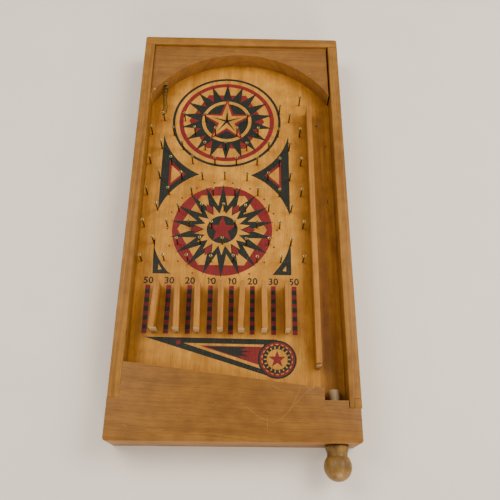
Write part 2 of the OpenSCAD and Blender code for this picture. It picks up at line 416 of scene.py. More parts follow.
        # the rings bend over about 90 mm along the trunk and 33 mm across it
        bends = add_node(
            tree,
            "ShaderNodeVectorMath",
            {0: trunk, 1: (0.011, 0.03, 0.03)},
            operation="MULTIPLY",
        ).outputs["Vector"]
        bend = add_node(
            tree,
            "ShaderNodeTexNoise",
            {"Vector": bends, "Scale": 1.0, "Detail": 2.0, "Roughness": 0.45},
        ).outputs[1]
        sway = 2 * self.wander_mm
        wavy = add_node(
            tree,
            "ShaderNodeVectorMath",
            {0: bend, 1: (0.0, sway, sway), 2: trunk},
            operation="MULTIPLY_ADD",
        ).outputs["Vector"]
        flat = add_node(
            tree, "ShaderNodeVectorMath", {0: wavy, 1: (0.0, 1.0, 1.0)}, operation="MULTIPLY"
        ).outputs["Vector"]
        radius = add_node(
            tree, "ShaderNodeVectorMath", {0: flat}, operation="LENGTH"
        ).outputs["Value"]
        years = add_node(
            tree, "ShaderNodeMath", {0: radius, 1: self.ring_mm}, operation="DIVIDE"
        ).outputs[0]
        uneven = add_node(
            tree,
            "ShaderNodeTexNoise",
            {"W": years, "Scale": 0.7, "Detail": 1.0},
            noise_dimensions="1D",
        ).outputs[0]
        growth = add_node(
            tree, "ShaderNodeMath", {0: uneven, 1: 2.0, 2: years}, operation="MULTIPLY_ADD"
        ).outputs[0]
        season = add_node(tree, "ShaderNodeMath", {0: growth}, operation="FRACT").outputs[0]
        return add_node(
            tree,
            "ShaderNodeMapRange",
            {"Value": season, "From Min": 0.55, "From Max": 0.98, "To Max": self.line_share},
            interpolation_type="SMOOTHSTEP",
        ).outputs["Result"]


@dataclass(frozen=True)
class ScreenInk:
    """Screen-printed ink under the field's lacquer, thin enough for fibres to show.

    The eye sees a flat colour that is a little paler along the fibres and
    broken by pin-prick specks where the ink has rubbed off.
    """

    name: str
    colour: str
    faded: str
    bare: str = "#B98A45"
    bare_share: float = 0.5
    roughness: float = 0.48
    sheen_level: float = 0.25

    def material(self) -> bpy.types.Material:
        """Builds the material.

        Returns:
            The finished material.
        """
        material, tree, shader = new_material(self.name)
        place = add_node(tree, "ShaderNodeTexCoord").outputs["Object"]
        # fibres 0.7 mm apart and 20 mm long
        fibres = add_node(
            tree,
            "ShaderNodeMapping",
            {"Vector": place, "Scale": (1.4 / MM, 0.05 / MM, 1.4 / MM)},
        ).outputs["Vector"]
        fibre = add_node(
            tree, "ShaderNodeTexNoise", {"Vector": fibres, "Scale": 1.0, "Detail": 3.0}
        ).outputs[0]
        # specks about 0.5 mm across
        speck = add_node(
            tree, "ShaderNodeTexNoise", {"Vector": place, "Scale": 1.1 / MM, "Detail": 2.0}
        ).outputs[0]
        fade = add_node(
            tree, "ShaderNodeMapRange", {"Value": fibre, "From Min": 0.35, "From Max": 0.7}
        ).outputs["Result"]
        printed = add_node(
            tree,
            "ShaderNodeMix",
            {MIX_FACTOR: fade, MIX_A: linear(self.colour), MIX_B: linear(self.faded)},
            data_type="RGBA",
        ).outputs[MIX_RESULT]
        rubbed = add_node(
            tree,
            "ShaderNodeMapRange",
            {"Value": speck, "From Min": 0.69, "From Max": 0.75, "To Max": self.bare_share},
        ).outputs["Result"]
        colour = add_node(
            tree,
            "ShaderNodeMix",
            {MIX_FACTOR: rubbed, MIX_A: printed, MIX_B: linear(self.bare)},
            data_type="RGBA",
        ).outputs[MIX_RESULT]
        relief = add_node(
            tree, "ShaderNodeBump", {"Height": fibre, "Strength": 0.3, "Distance": 0.1 * MM}
        ).outputs["Normal"]
        tree.links.new(colour, shader.inputs["Base Color"])
        tree.links.new(relief, shader.inputs["Normal"])
        shader.inputs["Roughness"].default_value = self.roughness
        shader.inputs["Specular IOR Level"].default_value = self.sheen_level
        return material


@dataclass(frozen=True)
class WireMetal:
    """Drawn wire of brass or steel, tarnished where fingers and balls miss it.

    The eye sees a warm or grey shine broken by darker, duller patches.
    """

    name: str
    bright: str
    dull: str
    patch_mm: float = 1.5
    dull_share: float = 0.6

    def material(self) -> bpy.types.Material:
        """Builds the material.

        Returns:
            The finished material.
        """
        material, tree, shader = new_material(self.name)
        place = add_node(tree, "ShaderNodeTexCoord").outputs["Object"]
        patch = add_node(
            tree,
            "ShaderNodeTexNoise",
            {"Vector": place, "Scale": 1 / (self.patch_mm * MM), "Detail": 3.0},
        ).outputs[0]
        tarnish = add_node(
            tree,
            "ShaderNodeMapRange",
            {"Value": patch, "From Min": 0.35, "From Max": 0.65, "To Max": self.dull_share},
        ).outputs["Result"]
        colour = add_node(
            tree,
            "ShaderNodeMix",
            {MIX_FACTOR: tarnish, MIX_A: linear(self.bright), MIX_B: linear(self.dull)},
            data_type="RGBA",
        ).outputs[MIX_RESULT]
        rough = add_node(
            tree,
            "ShaderNodeMapRange",
            {"Value": patch, "From Min": 0.3, "From Max": 0.7, "To Min": 0.25, "To Max": 0.5},
        ).outputs["Result"]
        tree.links.new(colour, shader.inputs["Base Color"])
        tree.links.new(rough, shader.inputs["Roughness"])
        shader.inputs["Metallic"].default_value = 1.0
        return material


@dataclass(frozen=True)
class MattCover:
    """A pale matt surface, such as a painted table top, faintly mottled."""

    name: str
    light: str
    dark: str
    patch_mm: float = 60.0
    roughness: float = 0.6

    def material(self) -> bpy.types.Material:
        """Builds the material.

        Returns:
            The finished material.
        """
        material, tree, shader = new_material(self.name)
        place = add_node(tree, "ShaderNodeTexCoord").outputs["Object"]
        cloud = add_node(
            tree,
            "ShaderNodeTexNoise",
            {"Vector": place, "Scale": 1 / (self.patch_mm * MM), "Detail": 4.0},
        ).outputs[0]
        colour = add_node(
            tree,
            "ShaderNodeMix",
            {MIX_FACTOR: cloud, MIX_A: linear(self.light), MIX_B: linear(self.dark)},
            data_type="RGBA",
        ).outputs[MIX_RESULT]
        tree.links.new(colour, shader.inputs["Base Color"])
        shader.inputs["Roughness"].default_value = self.roughness
        return material


@dataclass(frozen=True)
class Finishes:
    """Every finish on the board, made once."""

    side_rail: bpy.types.Material
    back_rail: bpy.types.Material
    front_block: bpy.types.Material
    arch_block: bpy.types.Material
    field: bpy.types.Material
    strip: bpy.types.Material
    knob: bpy.types.Material
    dowel: bpy.types.Material
    black_ink: bpy.types.Material
    red_ink: bpy.types.Material
    brass: bpy.types.Material
    old_brass: bpy.types.Material
    spring_wire: bpy.types.Material
    steel: bpy.types.Material
    scratch: bpy.types.Material
    end_grain: bpy.types.Material
    bruise: bpy.types.Material
    table: bpy.types.Material

    @classmethod
    def mix(cls) -> "Finishes":
        """Makes every material.

        Returns:
            The finishes.
        """
        return cls(
            # maple planed along the grain: straight fine lines and a soft sheen
            side_rail=LacqueredWood(
                "lacquered_maple_rail", "#9F6D2D", "#714A1B", "#5D3814", Grain.ALONG_Y,
                heart_mm=(0.0, 12.0, 40.0), tilt_deg=(0.5, 0.7), ring_mm=3.2,
                wander_mm=3.0, line_share=0.4, streak_mm=4.0, corner_shade_share=0.3,
            ).material(),
            # the same maple, its grain across the board
            back_rail=LacqueredWood(
                "lacquered_maple_back", "#996929", "#754A1B", "#613913", Grain.ALONG_X,
                heart_mm=(0.0, -405.0, 40.0), tilt_deg=(0.8, 0.4), ring_mm=3.5,
                wander_mm=3.0, line_share=0.35,
            ).material(),
            # flat-sawn maple: wide long arches in the grain, with painted shade at the step
            front_block=LacqueredWood(
                "lacquered_maple_block", "#8F6024", "#6A4318", "#5A3511", Grain.ALONG_X,
                heart_mm=(0.0, -34.0, 12.0), tilt_deg=(4.6, 2.4), ring_mm=5.2,
                wander_mm=5.5, line_share=0.3, streak_mm=9.0, corner_shade_share=0.5,
            ).material(),
            # maple band-sawn to a curve: a browner, redder piece with faint lines
            arch_block=LacqueredWood(
                "lacquered_maple_arch", "#8C5E2A", "#6A451F", "#573515", Grain.ALONG_X,
                heart_mm=(0.0, -330.0, 20.0), tilt_deg=(2.2, 1.0), ring_mm=4.6,
                wander_mm=3.5, line_share=0.3, streak_mm=10.0, corner_shade_share=0.15,
            ).material(),
            # birch ply under yellowed lacquer: straw gold, with painted shade at the walls and
            # between the dividers, and painted shadow with wear in the lane where balls roll
            field=LacqueredWood(
                "lacquered_birch_plywood", "#D1953A", "#99631E", "#7E4D17", Grain.ALONG_Y,
                heart_mm=(0.0, 20.0, -160.0), tilt_deg=(1.0, 1.2), ring_mm=7.0,
                line_share=0.18, streak_mm=6.0, fibre_mm=0.6, roughness=0.46,
                shade_and_wear_tint="#B39A78", corner_shade_share=0.75, corner_shade_reach_mm=22.0, edge_share=0.0,
                lane_from_mm=73.0,
            ).material(),
            # thin ripped maple: pale tops and close straight lines
            strip=LacqueredWood(
                "lacquered_maple_strip", "#AF7733", "#8C5B21", "#6E4117", Grain.ALONG_Y,
                heart_mm=(0.0, 15.0, 20.0), tilt_deg=(0.8, 1.0), ring_mm=2.6,
                wander_mm=3.0, line_share=0.35, streak_mm=3.0, corner_shade_share=0.4,
            ).material(),
            # birch turned and handled: brown, blotched and a little glossier
            knob=LacqueredWood(
                "turned_birch_knob", "#8A652E", "#4F3817", "#42300F", Grain.ALONG_Y,
                mottle_mm=7.0, mottle_share=2.2,
                heart_mm=(0.0, 6.0, 30.0), tilt_deg=(3.0, 2.0), ring_mm=3.0,
                wander_mm=3.0, line_share=0.35, streak_mm=6.0, roughness=0.4,
                sheen_level=0.28, corner_shade_share=0.0, edge_share=0.0,
            ).material(),
            # bare beech dowel: grey-tan and dull
            dowel=LacqueredWood(
                "bare_beech_dowel", "#A8916F", "#8C7655", "#776140", Grain.ALONG_Y,
                heart_mm=(0.0, 10.0, 25.0), ring_mm=2.5, line_share=0.2,
                streak_mm=3.0, roughness=0.7,
            ).material(),
            # screen-printed inks: flat, satin, a few bare specks
            black_ink=ScreenInk("black_screen_ink", "#12160F", "#20241A").material(),
            red_ink=ScreenInk("red_screen_ink", "#680F12", "#781E18").material(),
            # drawn brass: head rims rubbed to an olive gold and painted brighter as a
            # highlight; shanks tarnished nearly black-brown, with painted shade in the heads'
            # dishes
            brass=WireMetal("drawn_brass_highlight", "#BDAD74", "#75683A").material(),
            old_brass=WireMetal(
                "tarnished_brass_shade", "#6E5322", "#2E2210", dull_share=0.85
            ).material(),
            # tinned music wire gone olive, and bright steel that fingers never reach
            spring_wire=WireMetal("aged_spring_wire", "#786A3C", "#2A220D").material(),
            steel=WireMetal("bright_steel_wire", "#B9BABC", "#77787A").material(),
            # torn lacquer: pale and dull against the sheen
            scratch=MattCover(
                "dry_scratch", "#B5874E", "#A0733C", patch_mm=2.0, roughness=0.8
            ).material(),
            # sawn end grain, painted paler as light falling on the front faces: almost white
            # and chalky
            end_grain=MattCover(
                "sawn_end_grain", "#CDB083", "#B8925C", patch_mm=1.5, roughness=0.8
            ).material(),
            # crushed fibres and pin knots: dark brown, no sheen
            bruise=MattCover(
                "bruised_wood", "#553317", "#3E2410", patch_mm=1.0, roughness=0.7
            ).material(),
            # a painted table top: warm white, even and matt
            table=MattCover("painted_table", "#EBE1D3", "#E3D9CA").material(),
        )


# ---- the bench ----


@dataclass(frozen=True)
class Bench:
    """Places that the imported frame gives, in millimetres from the front face."""

    front_y: float
    surface: float
    field_x: float
    inner_x: float
    wall_left: float
    rail_top: float

    @classmethod
    def measure(cls) -> "Bench":
        """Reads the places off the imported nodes.

        Returns:
            The bench.
        """
        block_low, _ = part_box("front_block")
        rail_low, rail_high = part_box("right_rail")
        wall_low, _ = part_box("lane_wall")
        _, panel_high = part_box("playfield_panel")
        inner = rail_low[0] / MM
        wall_left = wall_low[0] / MM
        return cls(
            front_y=block_low[1] / MM,
            surface=panel_high[2] / MM,
            field_x=(wall_left - inner) / 2 - 1.5,
            inner_x=inner,
            wall_left=wall_left,
            rail_top=rail_high[2] / MM,
        )

    def box(self, node: str) -> tuple[Vector, Vector]:
        """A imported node's corners.

        Args:
            node: The node's name.

        Returns:
            Its lowest and highest corner in the bench frame.
        """
        shift = Vector((0.0, self.front_y, 0.0))
        low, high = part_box(node)
        return Vector(low) / MM - shift, Vector(high) / MM - shift


@dataclass
class SubAssembly:
    """What the sub-assemblies share: the bench, the finishes and the nodes."""

    bench: Bench
    finishes: Finishes
    nodes: dict[str, bpy.types.Object]

    def place(
        self,
        shape: bmesh.types.BMesh,
        name: str,
        material: bpy.types.Material,
        slot: Slot,
        replaces: Sequence[str] = (),
        body: str = "board",
        smooth_deg: float = 35.0,
    ) -> bpy.types.Object:
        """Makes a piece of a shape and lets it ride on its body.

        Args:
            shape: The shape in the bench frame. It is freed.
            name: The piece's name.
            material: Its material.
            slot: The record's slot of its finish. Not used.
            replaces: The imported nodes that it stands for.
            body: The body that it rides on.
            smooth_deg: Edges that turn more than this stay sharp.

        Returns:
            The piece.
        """
        shift = Matrix.Translation((0.0, self.bench.front_y, 0.0))
        bmesh.ops.transform(shape, matrix=Matrix.Scale(MM, 4) @ shift, verts=shape.verts)
        mesh = bpy.data.meshes.new(name)
        shape.to_mesh(mesh)
        shape.free()
        mesh.shade_smooth()
        mesh.set_sharp_from_angle(angle=math.radians(smooth_deg))
        mesh.materials.append(material)
        piece = bpy.data.objects.new(name, mesh)
        bpy.context.scene.collection.objects.link(piece)
        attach(piece, body)
        if replaces:
            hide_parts(*replaces)
        log.info("%s: %d faces", name, len(mesh.polygons))
        return piece

    def plate(
        self, shape: bmesh.types.BMesh, outline: Sequence[Point], z: float, film: float
    ) -> None:
        """Adds a flat closed plate to a shape.

        Args:
            shape: The shape that it joins.
            outline: Its corners.
            z: Height of its underside.
            film: Its thickness.
        """
        corners = [shape.verts.new((x, y, z)) for x, y in outline]
        self.thicken(shape, [shape.faces.new(corners)], film)

    @staticmethod
    def thicken(
        shape: bmesh.types.BMesh, faces: Sequence[bmesh.types.BMFace], film: float
    ) -> None:
        """Raises level faces into closed plates.

        Args:
            shape: The shape that holds them.
            faces: The faces, which become the plates' undersides.
            film: Thickness of the plates.
        """
        for face in faces:
            face.normal_update()
            if face.normal.z > 0:
                face.normal_flip()
        raised = bmesh.ops.extrude_face_region(shape, geom=list(faces), use_keep_orig=True)
        top = [item for item in raised["geom"] if isinstance(item, bmesh.types.BMVert)]
        bmesh.ops.translate(shape, verts=top, vec=(0.0, 0.0, film))
        upper = [item for item in raised["geom"] if isinstance(item, bmesh.types.BMFace)]
        for face in upper:
            face.normal_update()
            if face.normal.z < 0:
                face.normal_flip()

    def eased(self, node: str, radius: float, segments: int = 2) -> bmesh.types.BMesh:
        """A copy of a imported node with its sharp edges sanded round.

        Args:
            node: The node's name.
            radius: Radius of the sanded edges.
            segments: Steps round each edge.

        Returns:
            The shape in the bench frame.
        """
        shape = bmesh.new()
        shape.from_mesh(self.nodes[node].data)
        shift = Matrix.Translation((0.0, -self.bench.front_y, 0.0))
        bmesh.ops.transform(
            shape, matrix=shift @ Matrix.Scale(1 / MM, 4), verts=shape.verts
        )
        bmesh.ops.remove_doubles(shape, verts=shape.verts, dist=0.001)
        bmesh.ops.dissolve_limit(
            shape, angle_limit=math.radians(1.0), verts=shape.verts, edges=shape.edges
        )
        sharp = [
            edge
            for edge in shape.edges
            if edge.is_manifold and edge.calc_face_angle() > math.radians(30)
        ]
        bmesh.ops.bevel(
            shape,
            geom=sharp,
            offset=radius,
            offset_type="OFFSET",
            segments=segments,
            profile=0.5,
            affect="EDGES",
            clamp_overlap=True,
            material=-1,
        )
        return shape

    def dress(self, node: str, material: bpy.types.Material) -> None:
        """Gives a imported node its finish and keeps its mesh.

        Args:
            node: The node's name.
            material: Its material.
        """
        slots = self.nodes[node].material_slots
        for slot in slots:
            slot.material = material
        log.info("%s: packed mesh, %d slots", node, len(slots))


# ---- the wooden case ----


@dataclass
class Case(SubAssembly):
    """Rails, blocks, panel, lane wall and dividers."""

    rail_edge: float = 0.8
    block_edge: float = 1.0
    arch_edge: float = 0.5
    strip_edge: float = 0.45
    small_edge: float = 0.3
    saw_film: float = 0.06
    divider_count: int = 7

    def build(self) -> None:
        """Builds every wooden piece of the case."""
        woods = self.finishes
        for node, material, slot, edge in (
            ("left_rail", woods.side_rail, Slot.RAIL, self.rail_edge),
            ("right_rail", woods.side_rail, Slot.RAIL, self.rail_edge),
            ("back_rail", woods.back_rail, Slot.RAIL, self.rail_edge),
            ("front_block", woods.front_block, Slot.BLOCK, self.block_edge),
            ("arch_block", woods.arch_block, Slot.BLOCK, self.arch_edge),
            ("rail_end_patch", woods.side_rail, Slot.STRIP, self.small_edge),
            ("lane_wall", woods.strip, Slot.STRIP, self.strip_edge),
            ("guide_bush", woods.strip, Slot.STRIP, self.small_edge),
        ):
            self.place(self.eased(node, edge, 3), f"wood_{node}", material, slot, [node])
        for i in range(1, self.divider_count + 1):
            node = f"lane_divider_{i}"
            shape = self.eased(node, self.strip_edge)
            self.place(shape, f"wood_{node}", woods.strip, Slot.STRIP, [node])
        self.dress("playfield_panel", woods.field)
        self._lit_sawn_ends()

    def _lit_sawn_ends(self) -> None:
        """Pale bare wood on the sawn front ends of the dividers and the lane wall, painted
        paler as light falling on these front faces.
        """
        shape = bmesh.new()
        nodes = [f"lane_divider_{i}" for i in range(1, self.divider_count + 1)]
        for node in (*nodes, "lane_wall"):
            low, high = self.bench.box(node)
            middle = Vector(((low.x + high.x) / 2, low.y, (low.z + high.z) / 2))
            reach = high - low
            size = (
                reach.x - 2 * self.strip_edge, self.saw_film, reach.z - 2 * self.strip_edge
            )
            bmesh.ops.create_cube(
                shape,
                matrix=Matrix.Translation(middle) @ Matrix.Diagonal((*size, 1.0)),
            )
        self.place(shape, "wood_lit_sawn_ends", self.finishes.end_grain, Slot.STRIP)


# ---- the print ----


@dataclass
class Print(SubAssembly):
    """Ornament and lane values screen-printed on the playfield.

    Each colour is one piece of thin closed plates. A later plate lies one ink
    film above an earlier one, as inks are laid over each other.
    """

    film: float = 0.02
    steps: int = 72
    rays: int = 18
    upper_y: float = 322.3
    lower_y: float = 195.7
    lower_shift: float = -1.2
    lane_pitch: float = 19.05
    lane_shift: float = -0.5
    lane_values: tuple[str, ...] = ("50", "30", "20", "10", "10", "20", "30", "50")
    values_y: float = 139.9
    figure_pitch: float = 4.7
    figure_h: float = 6.4

    def __post_init__(self) -> None:
        """Starts one empty shape for each ink."""
        self.inks = {ink: bmesh.new() for ink in ("black", "red", "straw")}

    # -- outlines --

    def star(
        self, centre: Point, outer: float, inner: float, points: int, first_deg: float = 90.0
    ) -> list[Point]:
        """Outline of a star or burst.

        Args:
            centre: Its centre.
            outer: Radius of its tips.
            inner: Radius of its notches.
            points: How many tips it has.
            first_deg: Direction of the first tip.

        Returns:
            The outline's corners.
        """
        return [
            self.polar(centre, inner if i % 2 else outer, first_deg + 180 * i / points)
            for i in range(2 * points)
        ]

    def disc(self, centre: Point, radius: float, sides: int = 0) -> list[Point]:
        """Outline of a disc, or of a polygon with two flat sides across.

        Args:
            centre: Its centre.
            radius: Its radius at the corners.
            sides: How many corners it has, or 0 for a round disc.

        Returns:
            The outline's corners.
        """
        count = sides or self.steps
        return [self.polar(centre, radius, 360 * i / count) for i in range(count)]

    def arc(
        self, centre: Point, radius: float, start: Point, end: Point, count: int = 12
    ) -> list[Point]:
        """Points of an arc between the directions of two points.

        Args:
            centre: The arc's centre.
            radius: Its radius.
            start: A point in the direction where it starts.
            end: A point in the direction where it ends.
            count: How many steps it takes.

        Returns:
            The arc's points.
        """
        first = math.degrees(math.atan2(start[1] - centre[1], start[0] - centre[0]))
        last = math.degrees(math.atan2(end[1] - centre[1], end[0] - centre[0]))
        turn = (last - first + 180) % 360 - 180
        return [
            self.polar(centre, radius, first + turn * i / count)
            for i in range(count + 1)
        ]

    @staticmethod
    def polar(centre: Point, radius: float, degrees: float) -> Point:
        """The point at a distance and direction from a centre."""
        angle = math.radians(degrees)
        return (
            centre[0] + radius * math.cos(angle),
            centre[1] + radius * math.sin(angle),
        )

    # -- plates --

    def lay(self, ink: str, level: int, *outlines: list[Point]) -> None:
        """Lays plates of one ink.

        Args:
            ink: The ink's name.
            level: How many films lie under them.
            *outlines: The outline of each plate.
        """
        z = self.bench.surface + level * self.film
        for outline in outlines:
            self.plate(self.inks[ink], outline, z, self.film)

    def ring(self, ink: str, level: int, centre: Point, outer: float, inner: float) -> None:
        """Lays a ring.

        Args:
            ink: The ink's name.
            level: How many films lie under it.
            centre: Its centre.
            outer: Its outer radius.
            inner: Its inner radius.
        """
        shape = self.inks[ink]
        edges: list[bmesh.types.BMEdge] = []
        z = self.bench.surface + level * self.film
        for radius in (inner, outer):
            circle = bmesh.ops.create_circle(
                shape,
                radius=radius,
                segments=self.steps,
                matrix=Matrix.Translation((*centre, z)),
            )["verts"]
            edges += {edge for vert in circle for edge in vert.link_edges}
        faces = bmesh.ops.bridge_loops(shape, edges=edges)["faces"]
        self.thicken(shape, faces, self.film)

    # -- what is printed --

    def build(self) -> None:
        """Prints the field and makes one piece of each ink."""
        middle = self.bench.field_x
        self.upper = (middle, self.upper_y)
        self.lower = (middle + self.lower_shift, self.lower_y)
        self._upper_rose()
        self._lower_rose()
        self._side_triangles()
        self._lane_strips()
        self._pennant()
        woods = self.finishes
        for ink, material in (
            ("black", woods.black_ink),
            ("red", woods.red_ink),
            ("straw", woods.field),
        ):
            self.place(self.inks[ink], f"print_{ink}", material, Slot.FIELD)
        self._lane_values()

    def _upper_rose(self) -> None:
        """The upper rose: rings, an 18-point burst and a faceted star."""
        rose = self.upper
        self.ring("black", 0, rose, 56.4, 53.7)
        self.ring("red", 0, rose, 49.5, 45.0)
        self.lay("red", 1, self.disc(rose, 39.3, 6))
        self.lay("black", 2, self.star(rose, 48.0, 28.5, self.rays))
        self.lay("straw", 3, self.disc(rose, 25.8))
        self.lay("black", 4, self.disc(rose, 22.4))
        self.lay("red", 5, self.star(rose, 28.2, 11.6, 5))
        self.lay("straw", 6, self.star(rose, 24.0, 8.4, 5))
        self.lay("black", 7, self.star(rose, 17.5, 2.0, 5))

    def _lower_rose(self) -> None:
        """The lower rose: a red ring, two bursts and a red star."""
        rose = self.lower
        self.lay("red", 0, self.disc(rose, 47.8))
        self.lay("straw", 1, self.disc(rose, 42.7, 6))
        self.lay("black", 2, self.star(rose, 50.0, 26.0, self.rays))
        for side in range(6):
            heading = 60.0 * side
            kite = [
                self.polar(rose, 19.0, heading),
                self.polar(rose, 25.5, heading - 7),
                self.polar(rose, 32.0, heading),
                self.polar(rose, 25.5, heading + 7),
            ]
            self.lay("red", 3, kite)
        self.lay("straw", 4, self.star(rose, 27.0, 17.2, self.rays))
        self.lay("black", 5, self.disc(rose, 14.8))
        self.lay("red", 6, self.star(rose, 14.2, 5.9, 5))
        for i in range(self.rays):
            dot = self.polar(rose, 52.4, 360 / self.rays * i)
            self.lay("red", 0, self.disc(dot, 0.95, 12))

    def _side_triangles(self) -> None:
        """Hollow-sided triangles that fill the corners between the roses."""
        for side in (-1, 1):
            edge = self.bench.field_x + side * 64.0
            top, tip, foot = (edge, 305.0), (edge - side * 38.5, 256.8), (edge, 211.5)
            upper = self.arc(self.upper, math.dist(self.upper, tip), top, tip)
            lower = self.arc(self.lower, math.dist(self.lower, tip), tip, foot)
            reach = math.dist(self.upper, upper[0])
            upper = self._eased_arc(upper, self.upper, reach, top)
            self.lay("black", 0, [*upper, *lower[1:-1], foot])
            inner_x = edge - side * 8.0
            for ink, level, back, reach, heights in (
                ("red", 1, 0.0, 16.5, (273.0, 241.5)),
                ("straw", 2, 2.2, 12.6, (266.8, 246.4)),
            ):
                side_x = inner_x - side * back
                point = (inner_x - side * reach, tip[1])
                self.lay(ink, level, [(side_x, heights[0]), point, (side_x, heights[1])])
            corner, high = (edge, 149.5), (edge, 186.0)
            low = (edge - side * 17.5, 149.5)
            hollow = self.arc(self.lower, 66.0, high, low)
            self.lay("black", 0, [corner, high, *hollow[1:-1], low])
            chip = edge - side * 4.75
            self.lay("straw", 1, [(chip, 158.8), (chip - side * 3.4, 153.8), (chip, 153.2)])

    @staticmethod
    def _eased_arc(
        points: list[Point], centre: Point, reach: float, end: Point
    ) -> list[Point]:
        """Stretches an arc so that its first point meets a given end.

        Args:
            points: The arc's points.
            centre: Its centre.
            reach: Its radius.
            end: Where the first point has to lie.

        Returns:
            The stretched arc.
        """
        extra = math.dist(centre, end) / reach - 1
        last = len(points) - 1
        return [
            (
                centre[0] + (x - centre[0]) * (1 + extra * (1 - i / last)),
                centre[1] + (y - centre[1]) * (1 + extra * (1 - i / last)),
            )
            for i, (x, y) in enumerate(points)
        ]

    def _lane_x(self, lane: int) -> float:
        """The middle of a scoring lane, counted from the left."""
        from_middle = lane - (len(self.lane_values) - 1) / 2
        return self.bench.field_x + self.lane_shift + from_middle * self.lane_pitch

    def _lane_strips(self) -> None:
        """Strips of red and black checks in the scoring lanes."""
        front, back, half, checks = 92.6, 138.4, 2.2, 11
        step = (back - front) / checks
        for lane in range(len(self.lane_values)):
            left, right = self._lane_x(lane) - half, self._lane_x(lane) + half
            for check in range(checks):
                low = front + check * step
                high = low + step
                square = [(left, low), (right, low), (right, high), (left, high)]
                self.lay("black" if check % 2 else "red", 0, square)

    def _pennant(self) -> None:
        """The long pennant in front of the lanes, with its roundel."""
        middle = (self.bench.field_x + 50.0, 70.8)
        tip = (-80.8, 89.6)
        self.lay("black", 0, [tip, (middle[0] - 8, 56.4), (middle[0], 87.2), (middle[0], 88.4)])
        self.lay("straw", 1, [(-46.0, 84.4), (21.5, 62.6), (24.5, 83.7)])
        self.lay("red", 2, [(-32.0, 82.3), (19.5, 66.0), (23.5, 81.7)])
        flames = [(-27.5, 81.6), (6.0, 71.2), (2.0, 73.6), (11.5, 73.0)]
        flames += [(4.5, 76.0), (13.0, 77.6), (4.0, 78.6), (9.5, 81.2)]
        self.lay("black", 3, flames)
        self.lay("red", 1, self.disc((-50.3, 85.0), 2.0, 24))
        self.lay("black", 4, self.disc(middle, 16.8))
        self.ring("red", 5, middle, 15.2, 12.4)
        self.lay("straw", 5, self.disc(middle, 9.0))
        for i in range(self.rays):
            heading = 360.0 * i / self.rays
            gap = self._sector(middle, 8.6, 11.6, heading, 2.6)
            dash = self._sector(middle, 12.9, 13.7, heading + 180.0 / self.rays, 5.0)
            self.lay("straw", 5, gap)
            self.lay("straw", 6, dash)
        self.lay("red", 7, self.star(middle, 7.9, 3.1, 5))

    def _sector(
        self, centre: Point, inner: float, outer: float, heading: float, half_deg: float
    ) -> list[Point]:
        """Outline of a short piece of a ring.

        Args:
            centre: The ring's centre.
            inner: Its inner radius.
            outer: Its outer radius.
            heading: Direction of the piece's middle, in degrees.
            half_deg: Half of its width, in degrees.

        Returns:
            The outline's four corners.
        """
        before, after = heading - half_deg, heading + half_deg
        corners = ((inner, before), (outer, before), (outer, after), (inner, after))
        return [self.polar(centre, radius, degrees) for radius, degrees in corners]

    def _lane_values(self) -> None:
        """The values of the eight lanes."""
        shape = bmesh.new()
        for lane, value in enumerate(self.lane_values):
            for place, figure in enumerate(value):
                x = self._lane_x(lane) + (place - 0.5) * self.figure_pitch
                self._figure(shape, figure, x, self.values_y)
        self.place(shape, "print_values", self.finishes.black_ink, Slot.FIELD)

    def _figure(self, shape: bmesh.types.BMesh, figure: str, x: float, y: float) -> None:
        """Prints one figure. A one is drawn plain, without the type's foot.

        Args:
            shape: The shape that it joins.
            figure: The figure.
            x: The middle of its width.
            y: Its foot.
        """
        height = self.figure_h
        if figure == "1":
            outline = [(0.0, 0.0), (0.95, 0.0), (0.95, 1.0), (0.3, 1.0), (-0.95, 0.83)]
            outline += [(-0.95, 0.7), (0.0, 0.78)]
            places = [(x + dx, y + share * height) for dx, share in outline]
            self.plate(shape, places, self.bench.surface, self.film)
            return
        type_set = bpy.data.curves.new("figure", "FONT")
        type_set.body = figure
        # the type's figures are 0.72 of its size
        type_set.size = height / 0.72
        type_set.align_x = "CENTER"
        type_set.align_y = "BOTTOM_BASELINE"
        type_set.extrude = self.film / 2
        type_set.offset = 0.034 * height
        type_set.resolution_u = 6
        holder = bpy.data.objects.new("figure", type_set)
        bpy.context.scene.collection.objects.link(holder)
        depsgraph = bpy.context.evaluated_depsgraph_get()
        mesh = bpy.data.meshes.new_from_object(holder.evaluated_get(depsgraph))
        mesh.transform(Matrix.Translation((x, y, self.bench.surface + self.film / 2)))
        letter = bmesh.new()
        letter.from_mesh(mesh)
        bmesh.ops.remove_doubles(letter, verts=letter.verts, dist=0.001)
        letter.to_mesh(mesh)
        letter.free()
        shape.from_mesh(mesh)
        bpy.data.meshes.remove(mesh)
        bpy.data.objects.remove(holder)
        bpy.data.curves.remove(type_set)


# ---- nails and the rebound spring ----


